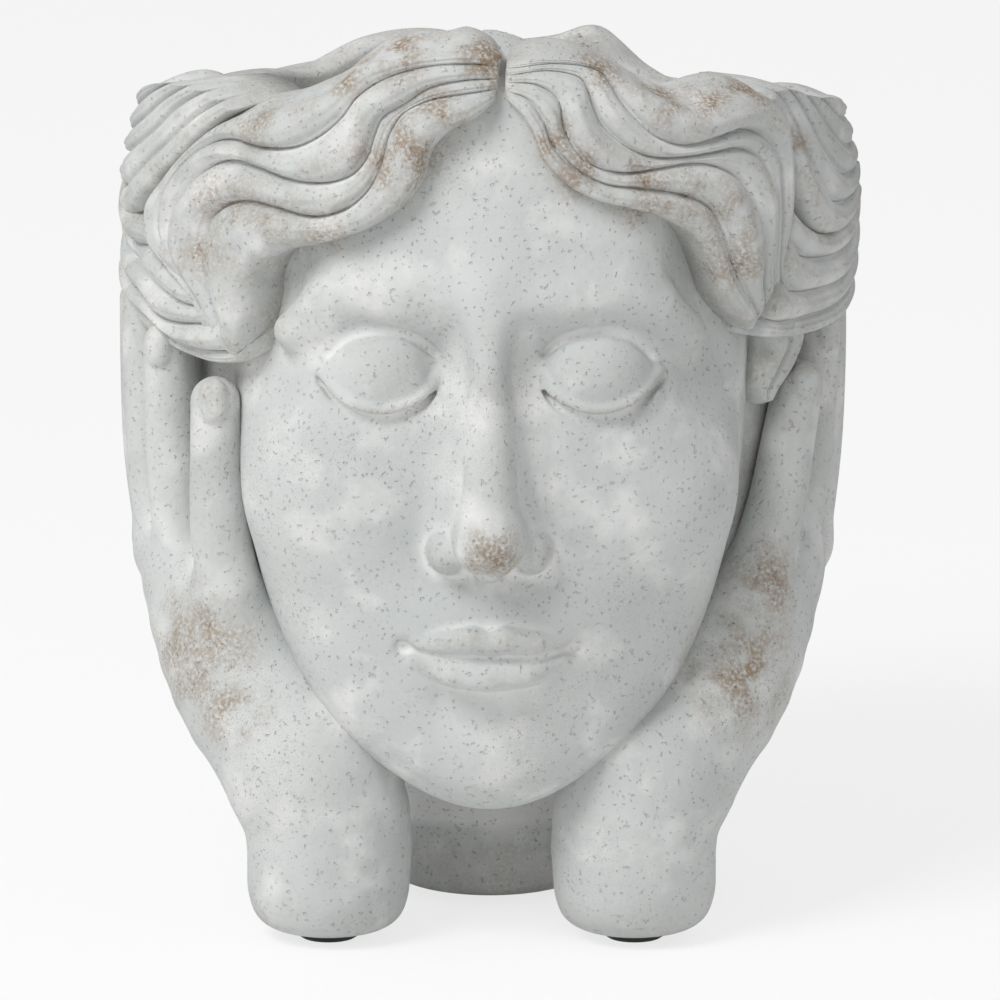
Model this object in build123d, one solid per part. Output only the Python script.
from build123d import *
import math
import os

# Head planter: an open-topped pot in the shape of a head that rests in two hands.
# Millimetres, +Z up, the face looks along -Y and +X is the viewer's right.

# Pot wall, neck and foot
RIM_HEIGHT = 199.0
RIM_BACK_DROP = 7.0
RIM_WAVE = 5.0
HEAD_WIDTH = 152.0
HEAD_DEPTH = 150.0
HEAD_SETBACK = 7.0
NECK_WIDTH = 56.0
NECK_DEPTH = 62.0
NECK_HEIGHT = 26.0
NECK_SETBACK = 6.0
NECK_FOOT_ROUND = 4.0
WALL = 11.0
POT_FLOOR_HEIGHT = 46.0
POT_FLOOR_RADIUS = 22.0
POT_FLOOR_ROUND = 12.0
OVERRUN = 30.0

# Height share between neck and rim, then how far the neck has widened into the head
SKULL_SHARES = ((0.0, 0.0), (0.13, 0.5), (0.32, 0.86), (0.53, 0.97), (0.75, 1.0), (1.0, 0.97))
# Wave of the back rim: share of half the head width, then share of the wave height
BACK_RIM_SHARES = (
    (-1.05, 1.4), (-0.9, 0.8), (-0.74, 0.2), (-0.57, -0.4), (-0.37, 0.75), (-0.16, 0.9), (0.03, 0.2),
    (0.2, 0.5), (0.31, 1.15), (0.45, -0.5), (0.57, -1.2), (0.72, -0.4), (0.9, 0.7), (1.05, 1.4),
)

# Drain hole, its plug and the foot pads
DRAIN_DIAMETER = 15.0
PLUG_CLEARANCE = 0.15
PLUG_STEM_LENGTH = 14.0
PLUG_STEM_CHAMFER = 1.0
PLUG_FLANGE_DIAMETER = 24.0
PLUG_FLANGE_THICKNESS = 3.0
PLUG_GRIP_DIAMETER = 9.0
PLUG_GRIP_HEIGHT = 9.0
PLUG_GRIP_ROUND = 2.0
PAD_DIAMETER = 14.0
PAD_THICKNESS = 2.0
NECK_PAD_SPREAD = 12.0
NECK_PAD_SETBACK = 16.0

# Face: an oval of even proportions, eyes on the middle line, nose and mouth by thirds
CHIN_HEIGHT = 36.0
FACE_RISE = 13.0
FACE_WIDTH = 124.0
FACE_FRONT = 76.0
FACE_SIDE = 26.0
FACE_DOME_WIDTH = 140.0
FACE_LEAN = 4.0
FACE_WIDEST_SHARE = 0.62
FACE_TOP_SHARE = 1.03
FACE_LOW_SHARE = 0.015
FACE_CROWN_SHARE = 1.05
JAW_POWER = 2.2
CROWN_POWER = 1.5
FACE_BACK = 16.0
CHIN_SETBACK = 9.0
NOSE_PROUD = 18.0
EYE_PROUD = 7.0
LIP_PROUD = 3.6
CHIN_PROUD = 5.0
BROW_PROUD = 2.6
SOCKET_DEPTH = 5.5
CREASE_DEPTH = 2.2
CHEEK_PROUD = 3.2
FACE_COLUMNS = 28
FACE_ROWS = 36
# The oval's rounding towards its sides
DOME_POWER = 2.3
DOME_ROUND_POWER = 0.55
# Lean of the face about its middle, and where the chin starts to go back: share of the face height, softness
LEAN_MIDDLE_SHARE = 0.5
CHIN_ROUND_SHARES = (0.06, 0.045)

# Places on the face as shares of its height
EYE_WIDTHS_ACROSS = 5
EYE_SHARE = 0.6
BROW_SHARE = 0.68
NOSE_WING_SHARE = 0.367
MOUTH_SHARE = 0.225
FOLD_SHARE = 0.145
CHIN_SHARE = 0.075
CHEEK_SHARE = 0.42
# Nose: share of the face height, then share of how far it stands out and of the eye width
BRIDGE_SHARES = (
    (0.0, 0.0), (0.3, 0.0), (0.345, 0.55), (0.375, 1.0), (0.43, 0.82), (0.5, 0.55), (0.58, 0.3),
    (0.64, 0.16), (0.7, 0.08), (0.8, 0.0), (1.2, 0.0),
)
NOSE_WIDTH_SHARES = (
    (0.0, 0.3), (0.34, 0.38), (0.38, 0.37), (0.45, 0.29), (0.58, 0.25), (0.7, 0.4), (1.2, 0.4),
)
# Forms of the face in eye widths: place across, half width, share of how far the nose stands out
WING_SHARES = (0.42, 0.24, 0.36)
# Half width and half height of socket, eyelid, lash line, lid fold, brow, chin and the fold over it
SOCKET_SHARES = (0.95, 0.62)
EYELID_SHARES = (0.66, 0.42)
LASH_SHARES = (0.5, 0.055)
LID_FOLD_SHARES = (0.62, 0.08)
BROW_SIZE_SHARES = (0.85, 0.2)
CHIN_SIZE_SHARES = (0.72, 0.5)
CHIN_FOLD_SHARES = (0.6, 0.22)
# Rise over the eye line and bend of lids and brow
EYELID_DROP_SHARE = 0.04
LASH_DROP_SHARE = 0.17
LASH_BEND_SHARE = 0.13
LID_FOLD_RISE_SHARE = 0.4
LID_FOLD_BEND_SHARE = 0.3
BROW_BEND_SHARE = 0.22
BROW_OUT_SHARE = 0.1
# Forms of the mouth: half width, half height, rise over the mouth line, share of the relief
MUZZLE_SHARES = (1.25, 0.8, 0.1, 0.8)
UPPER_LIP_SHARES = (0.52, 0.15, 0.2, 1.0)
LOWER_LIP_SHARES = (0.46, 0.19, -0.22, 1.15)
MOUTH_LINE_SHARES = (0.66, 0.06, -0.03, 1.0)
LIP_GROOVE_SHARES = (0.1, 0.22, 0.55, 0.5)
# The bow of the lips, and its waves across
LIP_BOW_SHARE = 0.05
UPPER_LIP_WAVES = 7
MOUTH_LINE_WAVES = 6
# Mouth corners and cheeks: place across, half width, and share of the crease or half height
MOUTH_CORNER_SHARES = (0.76, 0.16, 0.7)
CHEEK_SIZE_SHARES = (1.45, 0.8, 0.95)
LID_CREASE_SHARE = 0.6

# Hair masses
HAIR_RISE = 5.0
HAIR_ROOT = 12.5
HAIR_CREST = 5.5
SIDE_HAIR_ROOT = 9.0
SIDE_HAIR_CREST = 6.0
BACK_HAIR_ROOT = 7.0
BACK_HAIR_CREST = 6.0
HAIR_EMBED = 8.0
HAIR_STATIONS = 14
STRAND_STEPS = 4
CREST_SHARE = 0.8

# Borders of the hair masses: station, angle from the front, share of the hair height
FRONT_RIGHT_LOW_SHARES = (
    (0.0, 0.0, 1.033), (0.14, 6.0, 0.975), (0.28, 10.5, 0.926), (0.42, 18.0, 0.9), (0.56, 27.0, 0.875),
    (0.7, 34.0, 0.828), (0.85, 40.0, 0.775), (1.0, 46.0, 0.735),
)
FRONT_RIGHT_HIGH_SHARES = (
    (0.0, 0.0, 1.07), (0.14, 11.0, 1.072), (0.28, 18.0, 1.048), (0.42, 27.0, 1.018), (0.56, 37.0, 1.008),
    (0.7, 47.0, 0.97), (0.85, 54.0, 0.86), (1.0, 58.0, 0.735),
)
FRONT_LEFT_LOW_SHARES = (
    (0.0, 0.0, 1.033), (0.14, -5.0, 0.98), (0.28, -10.5, 0.926), (0.42, -17.0, 0.872), (0.56, -27.0, 0.847),
    (0.7, -36.0, 0.815), (0.85, -40.0, 0.755), (1.0, -45.0, 0.705),
)
FRONT_LEFT_HIGH_SHARES = (
    (0.0, 0.0, 1.07), (0.14, -8.0, 1.08), (0.28, -18.0, 1.07), (0.42, -26.0, 1.025), (0.56, -37.0, 1.0),
    (0.7, -47.0, 0.95), (0.85, -54.0, 0.83), (1.0, -58.0, 0.705),
)
SIDE_FRONT_SHARES = ((0.0, 48.5, 1.02), (0.3, 55.2, 0.935), (0.6, 60.4, 0.85), (1.0, 60.8, 0.775))
SIDE_BACK_ANGLE = 109.5
SIDE_TOP_SHARE = 1.02
SIDE_BOTTOM_SHARE = 0.775
NAPE_SHARE = 0.28
BACK_HAIR_ANGLE = 110.5
FRONT_STRANDS = 4
SIDE_STRANDS = 4
BACK_STRANDS = 8
WAVE_TURNS = 1.5
SIDE_WAVE_ANGLE = 3.0
BACK_WAVE_ANGLE = 3.0

# Hands: measured on the right hand, the left one is its mirror
HAND_SHIFT = -2.0
ARM_SPREAD = 36.5
ARM_FORWARD = 50.0
ARM_DIAMETER = 40.0
ARM_FOOT_DIAMETER = 24.0
ARM_FOOT_ROUND = 11.0
ARM_HEIGHT = 34.0
ARM_ROUND_SHARES = (0.0, 0.1, 0.35, 1.0)
PALM_ANGLE = 68.0
KNUCKLE_HEIGHT = 84.0
PALM_HALF_LENGTH = 34.0
PALM_HALF_THICKNESS = 14.0
PALM_SINK = 3.0
# Palm: share of its height, of the way to the knuckles, of its full length and of its thinning
PALM_SHARES = ((0.33, 0.30, 0.42, 0.15), (0.66, 0.64, 0.8, 0.4), (1.0, 1.0, 1.0, 1.0))
FINGER_STATIONS = 5
LITTLE_DIAMETER = 16.0
LITTLE_TIP_DROP = 60.0
RING_DIAMETER = 16.4
RING_TIP_DROP = 49.0
MIDDLE_DIAMETER = 16.6
MIDDLE_TIP_DROP = 42.0
INDEX_DIAMETER = 16.4
INDEX_TIP_DROP = 46.0
THUMB_DIAMETER = 17.0
THUMB_TIP_DROP = 93.0
THUMB_ROOT_HEIGHT = 58.0
FINGER_LIFT = 5.5
LITTLE_LIFT = 9.0
FINGER_TAPER_SHARE = 0.86
FINGERTIP_SHARE = 1.03
# Finger: angle at the knuckle and at the tip, diameter, drop of the tip below the rim, root height, lift
FINGERS = {
    "little_finger": (49.0, 53.0, LITTLE_DIAMETER, LITTLE_TIP_DROP, KNUCKLE_HEIGHT, LITTLE_LIFT),
    "ring_finger": (62.5, 66.5, RING_DIAMETER, RING_TIP_DROP, KNUCKLE_HEIGHT, FINGER_LIFT),
    "middle_finger": (75.0, 79.0, MIDDLE_DIAMETER, MIDDLE_TIP_DROP, KNUCKLE_HEIGHT, FINGER_LIFT),
    "index_finger": (87.5, 91.5, INDEX_DIAMETER, INDEX_TIP_DROP, KNUCKLE_HEIGHT, FINGER_LIFT),
    "thumb": (98.0, 101.5, THUMB_DIAMETER, THUMB_TIP_DROP, THUMB_ROOT_HEIGHT, FINGER_LIFT),
}


def blend(rows, station):
    """Smooth values at a station from rows that start with their own station."""
    station = min(max(station, rows[0][0]), rows[-1][0])
    step = next(k for k in range(len(rows) - 1) if station <= rows[k + 1][0])

    def slope(k, item):
        before, after = max(k - 1, 0), min(k + 1, len(rows) - 1)
        return (rows[after][item] - rows[before][item]) / (rows[after][0] - rows[before][0])

    span = rows[step + 1][0] - rows[step][0]
    part = (station - rows[step][0]) / span
    values = []
    for item in range(1, len(rows[0])):
        start, end = rows[step][item], rows[step + 1][item]
        ease = part * part * (3 - 2 * part)
        bend_in = slope(step, item) * span * part * (1 - part) ** 2
        bend_out = slope(step + 1, item) * span * part * part * (1 - part)
        values.append(start + (end - start) * ease + bend_in - bend_out)
    return values


def skull(height):
    """Half width, half depth and centre line of the head core at a height."""
    share = blend(SKULL_SHARES, (height - NECK_HEIGHT) / (RIM_HEIGHT - NECK_HEIGHT))[0]
    half_width = (NECK_WIDTH + (HEAD_WIDTH - NECK_WIDTH) * share) / 2
    half_depth = (NECK_DEPTH + (HEAD_DEPTH - NECK_DEPTH) * share) / 2
    return half_width, half_depth, NECK_SETBACK + (HEAD_SETBACK - NECK_SETBACK) * share


def scalp(angle, height, lift):
    """A point above the head core, by its angle from the front."""
    half_width, half_depth, centre = skull(height)
    turn = math.radians(angle)
    across = (half_width + lift) * math.sin(turn)
    back = centre - (half_depth + lift) * math.cos(turn)
    return Vector(across, back, height)


def oval_at(height, inset):
    half_width, half_depth, centre = skull(height)
    return Pos(0, centre, height) * Ellipse(half_width - inset, half_depth - inset)


def hair_mass(first_border, second_border, strands, root, crest, wave_angle=0.0):
    """Strands that run along two borders, side by side between them."""
    places = [j / (strands * STRAND_STEPS) for j in range(strands * STRAND_STEPS + 1)]
    sections = []
    for i in range(HAIR_STATIONS + 1):
        along = i / HAIR_STATIONS
        first, second = blend(first_border, along), blend(second_border, along)
        sway = wave_angle * math.sin(2 * math.pi * WAVE_TURNS * along)
        outside, inside = [], []
        for place in places:
            angle = first[0] + (second[0] - first[0]) * place + sway * math.sin(math.pi * place)
            height = hair_height * (first[1] + (second[1] - first[1]) * place)
            swell = abs(math.sin(math.pi * strands * place)) ** CREST_SHARE
            outside.append(scalp(angle, height, root + crest * swell))
            inside.append(scalp(angle, height, -HAIR_EMBED))
        inside.reverse()
        edges = [Edge.make_spline(outside, parameters=places), Edge.make_line(outside[-1], inside[0])]
        edges += [Edge.make_spline(inside, parameters=places), Edge.make_line(inside[-1], outside[0])]
        sections.append(Wire(edges))
    return Solid.make_loft(sections)


def bump(distance, width):
    return math.exp(-((distance / width) ** 2))


def step_up(value, edge, width):
    return 1 / (1 + math.exp(-(value - edge) / width))


def spot(aside, above, shares):
    """A soft round form with a half width and a half height."""
    return bump(aside, shares[0]) * bump(above, shares[1])


def over(up, level):
    """Height above a level of the face, in eye widths."""
    return (up - level) * face_height / eye_width


def nose(across, up):
    """Height of the nose above the face, from the share of the face height."""
    width = eye_width * blend(NOSE_WIDTH_SHARES, up)[0]
    place, half_width, proud = WING_SHARES
    wings = 0.0
    for side in (-1, 1):
        reach = math.hypot(across / eye_width - side * place, over(up, NOSE_WING_SHARE))
        wings += proud * bump(reach, half_width)
    return NOSE_PROUD * (blend(BRIDGE_SHARES, up)[0] * bump(across, width) + wings)


def eyes(across, up):
    """Closed lids in their sockets, with the lash line and the brow above."""
    total = 0.0
    above = over(up, EYE_SHARE)
    for side in (-1, 1):
        aside = across / eye_width - side
        total -= SOCKET_DEPTH * spot(aside, above, SOCKET_SHARES)
        half_width, half_height = EYELID_SHARES
        ball = 1 - (aside / half_width) ** 2 - ((above + EYELID_DROP_SHARE) / half_height) ** 2
        total += EYE_PROUD * math.sqrt(max(0.0, ball))
        lash = above + LASH_DROP_SHARE - LASH_BEND_SHARE * aside**2
        fold = above - LID_FOLD_RISE_SHARE + LID_FOLD_BEND_SHARE * aside**2
        creases = spot(aside, lash, LASH_SHARES) + spot(aside, fold, LID_FOLD_SHARES)
        total -= CREASE_DEPTH * LID_CREASE_SHARE * creases
        brow = over(up, BROW_SHARE) + BROW_BEND_SHARE * (aside - side * BROW_OUT_SHARE) ** 2
        total += BROW_PROUD * spot(aside, brow, BROW_SIZE_SHARES)
    return total


def mouth(across, up):
    """Lips, the groove between them, the fold below and the chin."""
    aside = across / eye_width
    above = over(up, MOUTH_SHARE)

    def form(relief, shares, bow=0.0):
        return relief * shares[3] * spot(aside, above - shares[2] - bow, shares)

    upper_bow = LIP_BOW_SHARE * math.cos(UPPER_LIP_WAVES * aside)
    line_bow = LIP_BOW_SHARE * math.cos(MOUTH_LINE_WAVES * aside)
    total = form(CHIN_PROUD, MUZZLE_SHARES) + form(LIP_PROUD, UPPER_LIP_SHARES, upper_bow)
    total += form(LIP_PROUD, LOWER_LIP_SHARES) - form(CREASE_DEPTH, MOUTH_LINE_SHARES, line_bow)
    total -= form(CREASE_DEPTH, LIP_GROOVE_SHARES)
    place, half_width, depth = MOUTH_CORNER_SHARES
    for side in (-1, 1):
        total -= CREASE_DEPTH * depth * bump(math.hypot(aside - side * place, above), half_width)
    total -= CREASE_DEPTH * spot(aside, over(up, FOLD_SHARE), CHIN_FOLD_SHARES)
    total += CHIN_PROUD * spot(aside, over(up, CHIN_SHARE), CHIN_SIZE_SHARES)
    return total


def cheeks(across, up):
    total = 0.0
    place, half_width, half_height = CHEEK_SIZE_SHARES
    for side in (-1, 1):
        aside = across / eye_width - side * place
        total += CHEEK_PROUD * bump(aside, half_width) * bump(over(up, CHEEK_SHARE), half_height)
    return total


def face_depth(across, up):
    """Distance of the face's skin in front of the centre plane."""
    chin = CHIN_SETBACK * (1 - step_up(up, *CHIN_ROUND_SHARES))
    front = FACE_FRONT + FACE_LEAN * (up - LEAN_MIDDLE_SHARE) - chin
    side = min(abs(across) / (FACE_DOME_WIDTH / 2), 1.0)
    dome = FACE_SIDE + (front - FACE_SIDE) * (1 - side**DOME_POWER) ** DOME_ROUND_POWER
    return dome + nose(across, up) + eyes(across, up) + mouth(across, up) + cheeks(across, up)


def face_half_width(up):
    """Half the width of the face's oval at a share of its height."""
    if up < FACE_WIDEST_SHARE:
        away, power = (FACE_WIDEST_SHARE - up) / FACE_WIDEST_SHARE, JAW_POWER
    else:
        away, power = (up - FACE_WIDEST_SHARE) / (FACE_CROWN_SHARE - FACE_WIDEST_SHARE), CROWN_POWER
    return FACE_WIDTH / 2 * (1 - away**power) ** (1 / power)


def face_solid():
    """The relief of the face, a loft of level sections from the chin to the hairline."""
    sections = []
    places = [j / FACE_COLUMNS for j in range(FACE_COLUMNS + 1)]
    for i in range(FACE_ROWS + 1):
        up = FACE_LOW_SHARE + (FACE_TOP_SHARE - FACE_LOW_SHARE) * i / FACE_ROWS
        height = CHIN_HEIGHT + face_height * up
        half_width = face_half_width(up)
        skin = []
        for place in places:
            across = half_width * (2 * place - 1)
            skin.append(Vector(across, -face_depth(across, up), height))
        left, right = Vector(-half_width, -FACE_BACK, height), Vector(half_width, -FACE_BACK, height)
        edges = [Edge.make_spline(skin, parameters=places), Edge.make_line(skin[-1], right)]
        edges += [Edge.make_line(right, left), Edge.make_line(left, skin[0])]
        sections.append(Wire(edges))
    return Solid.make_loft(sections)


def head_core():
    """Outside of neck and pot, and the pot's cavity."""
    heights = [NECK_HEIGHT + (RIM_HEIGHT - NECK_HEIGHT) * share for share, _ in SKULL_SHARES]
    sections = [oval_at(height, 0) for height in heights]
    core = loft(sections)
    foot = Pos(0, NECK_SETBACK, PAD_THICKNESS) * Ellipse(NECK_WIDTH / 2, NECK_DEPTH / 2)
    neck = extrude(foot, NECK_HEIGHT - PAD_THICKNESS)
    neck = fillet(neck.edges().group_by(Axis.Z)[0], NECK_FOOT_ROUND)
    wall_start = POT_FLOOR_HEIGHT + POT_FLOOR_ROUND
    centre = NECK_SETBACK
    inside = [Pos(0, centre, POT_FLOOR_HEIGHT) * Ellipse(POT_FLOOR_RADIUS, POT_FLOOR_RADIUS)]
    inside += [oval_at(wall_start, WALL)]
    inside += [oval_at(height, WALL) for height in heights if height > wall_start + POT_FLOOR_ROUND]
    inside += [Pos(0, 0, OVERRUN) * oval_at(RIM_HEIGHT, WALL)]
    return core, neck, loft(inside)


def rim_cut():
    """Everything above the wavy back rim."""
    points = []
    for across, wave in BACK_RIM_SHARES:
        points.append((across * HEAD_WIDTH / 2, rim_back_height + RIM_WAVE * wave))
    top = RIM_HEIGHT + OVERRUN
    edge = Spline(*points)
    lid = Polyline(points[-1], (points[-1][0], top), (points[0][0], top), points[0])
    return extrude(Plane.XZ * make_face(edge + lid), -(HEAD_DEPTH + OVERRUN))


def tube(stations):
    """A round-ended finger through rows of point and radius."""
    rings = []
    for k, (point, radius) in enumerate(stations):
        before, after = stations[max(k - 1, 0)][0], stations[min(k + 1, len(stations) - 1)][0]
        rings.append(Plane(point, x_dir=(1, 0, 0), z_dir=after - before) * Circle(radius))
    tip, radius = stations[-1]
    return loft(rings) + Pos(tip) * Sphere(radius * FINGERTIP_SHARE)


def finger(root_angle, tip_angle, diameter, tip_drop, root_height, lift):
    stations = []
    tip_height = RIM_HEIGHT - tip_drop
    for k in range(FINGER_STATIONS):
        share = k / (FINGER_STATIONS - 1)
        radius = diameter / 2 * (1 - (1 - FINGER_TAPER_SHARE) * share)
        height = root_height + (tip_height - diameter / 2 - root_height) * share
        angle = root_angle + (tip_angle - root_angle) * share
        stations.append((scalp(angle, height, lift), radius))
    return tube(stations)


def palm():
    arm = Vector(ARM_SPREAD, -ARM_FORWARD, ARM_HEIGHT)
    knuckles = scalp(PALM_ANGLE, KNUCKLE_HEIGHT, -PALM_SINK)
    rings = [Pos(arm) * Rot(0, 0, PALM_ANGLE) * Circle(ARM_DIAMETER / 2)]
    for share, place, length, thickness in PALM_SHARES:
        spot = arm + (knuckles - arm) * place
        half_length = ARM_DIAMETER / 2 + (PALM_HALF_LENGTH - ARM_DIAMETER / 2) * length
        half_thickness = ARM_DIAMETER / 2 + (PALM_HALF_THICKNESS - ARM_DIAMETER / 2) * thickness
        height = ARM_HEIGHT + (KNUCKLE_HEIGHT - ARM_HEIGHT) * share
        section = Ellipse(half_length, half_thickness)
        rings.append(Pos(spot.X, spot.Y, height) * Rot(0, 0, PALM_ANGLE) * section)
    return loft(rings)


def forearm():
    rings = []
    radius = ARM_DIAMETER / 2
    for share in ARM_ROUND_SHARES:
        reach = ARM_FOOT_DIAMETER / 2 + (radius - ARM_FOOT_DIAMETER / 2) * math.sqrt(share * (2 - share))
        rings.append(Pos(ARM_SPREAD, -ARM_FORWARD, PAD_THICKNESS + ARM_FOOT_ROUND * share) * Circle(reach))
    rings.append(Pos(ARM_SPREAD, -ARM_FORWARD, ARM_HEIGHT) * Circle(radius))
    return loft(rings)


def plug():
    stem_radius = DRAIN_DIAMETER / 2 - PLUG_CLEARANCE
    stem = Pos(0, 0, -PLUG_STEM_LENGTH / 2) * Cylinder(stem_radius, PLUG_STEM_LENGTH)
    stem = chamfer(stem.edges().group_by(Axis.Z)[0], PLUG_STEM_CHAMFER)
    flange = Pos(0, 0, PLUG_FLANGE_THICKNESS / 2) * Cylinder(PLUG_FLANGE_DIAMETER / 2, PLUG_FLANGE_THICKNESS)
    grip_height = PLUG_FLANGE_THICKNESS + PLUG_GRIP_HEIGHT
    grip = Pos(0, 0, grip_height / 2) * Cylinder(PLUG_GRIP_DIAMETER / 2, grip_height)
    grip = fillet(grip.edges().group_by(Axis.Z)[-1], PLUG_GRIP_ROUND)
    return Pos(0, NECK_SETBACK, POT_FLOOR_HEIGHT) * (stem + flange + grip)


def pad(across, along):
    return Pos(across, along, PAD_THICKNESS / 2) * Cylinder(PAD_DIAMETER / 2, PAD_THICKNESS)


def mirrored_border(border):
    return tuple((station, -angle, height) for station, angle, height in border)


def place_hand(shape, side):
    moved = shape if side > 0 else mirror(shape, about=Plane.YZ)
    return Pos(HAND_SHIFT, 0, 0) * moved


rim_back_height = RIM_HEIGHT - RIM_BACK_DROP
hair_height = RIM_HEIGHT + HAIR_RISE
face_height = RIM_HEIGHT + FACE_RISE - CHIN_HEIGHT
eye_width = FACE_WIDTH / EYE_WIDTHS_ACROSS
core, neck, cavity = head_core()
drain = Pos(0, NECK_SETBACK, RIM_HEIGHT / 2) * Cylinder(DRAIN_DIAMETER / 2, RIM_HEIGHT + OVERRUN)
face = face_solid() - core - cavity
solids = {
    "neck_base": neck - drain,
    "pot_shell": core - cavity - drain - rim_cut(),
    "face": face,
}

side_back = ((0.0, SIDE_BACK_ANGLE, SIDE_TOP_SHARE), (1.0, SIDE_BACK_ANGLE, SIDE_BOTTOM_SHARE))
rim_share = rim_back_height / hair_height
back_start = ((0.0, BACK_HAIR_ANGLE, rim_share), (1.0, BACK_HAIR_ANGLE, NAPE_SHARE))
back_end = ((0.0, 360 - BACK_HAIR_ANGLE, rim_share), (1.0, 360 - BACK_HAIR_ANGLE, NAPE_SHARE))
front_sizes = (FRONT_STRANDS, HAIR_ROOT, HAIR_CREST)
side_sizes = (SIDE_STRANDS, SIDE_HAIR_ROOT, SIDE_HAIR_CREST)
hair = {
    "hair_front_right": hair_mass(FRONT_RIGHT_LOW_SHARES, FRONT_RIGHT_HIGH_SHARES, *front_sizes),
    "hair_front_left": hair_mass(FRONT_LEFT_LOW_SHARES, FRONT_LEFT_HIGH_SHARES, *front_sizes),
    "hair_side_right": hair_mass(SIDE_FRONT_SHARES, side_back, *side_sizes, SIDE_WAVE_ANGLE),
    "hair_side_left": hair_mass(mirrored_border(SIDE_FRONT_SHARES), mirrored_border(side_back), *side_sizes,
                                -SIDE_WAVE_ANGLE),
    "hair_back": hair_mass(
        back_start, back_end, BACK_STRANDS, BACK_HAIR_ROOT, BACK_HAIR_CREST, BACK_WAVE_ANGLE),
}
for name, mass in hair.items():
    solids[name] = mass - core - face if "back" not in name else mass - core

for side, word in ((-1, "left"), (1, "right")):
    hand = place_hand(palm(), side)
    solids[word + "_forearm"] = place_hand(forearm(), side)
    solids[word + "_palm"] = hand - core - face
    for name, sizes in FINGERS.items():
        solids[word + "_" + name] = place_hand(finger(*sizes), side) - core - face - hand

solids["drain_plug"] = plug()
pads = {
    "pad_front_left": (HAND_SHIFT - ARM_SPREAD, -ARM_FORWARD),
    "pad_front_right": (HAND_SHIFT + ARM_SPREAD, -ARM_FORWARD),
    "pad_back_left": (-NECK_PAD_SPREAD, NECK_SETBACK + NECK_PAD_SETBACK),
    "pad_back_right": (NECK_PAD_SPREAD, NECK_SETBACK + NECK_PAD_SETBACK),
}
for name, place in pads.items():
    solids[name] = pad(*place)

os.makedirs("parts", exist_ok=True)
for name, solid in solids.items():
    export_step(solid, f"parts/{name}.step")
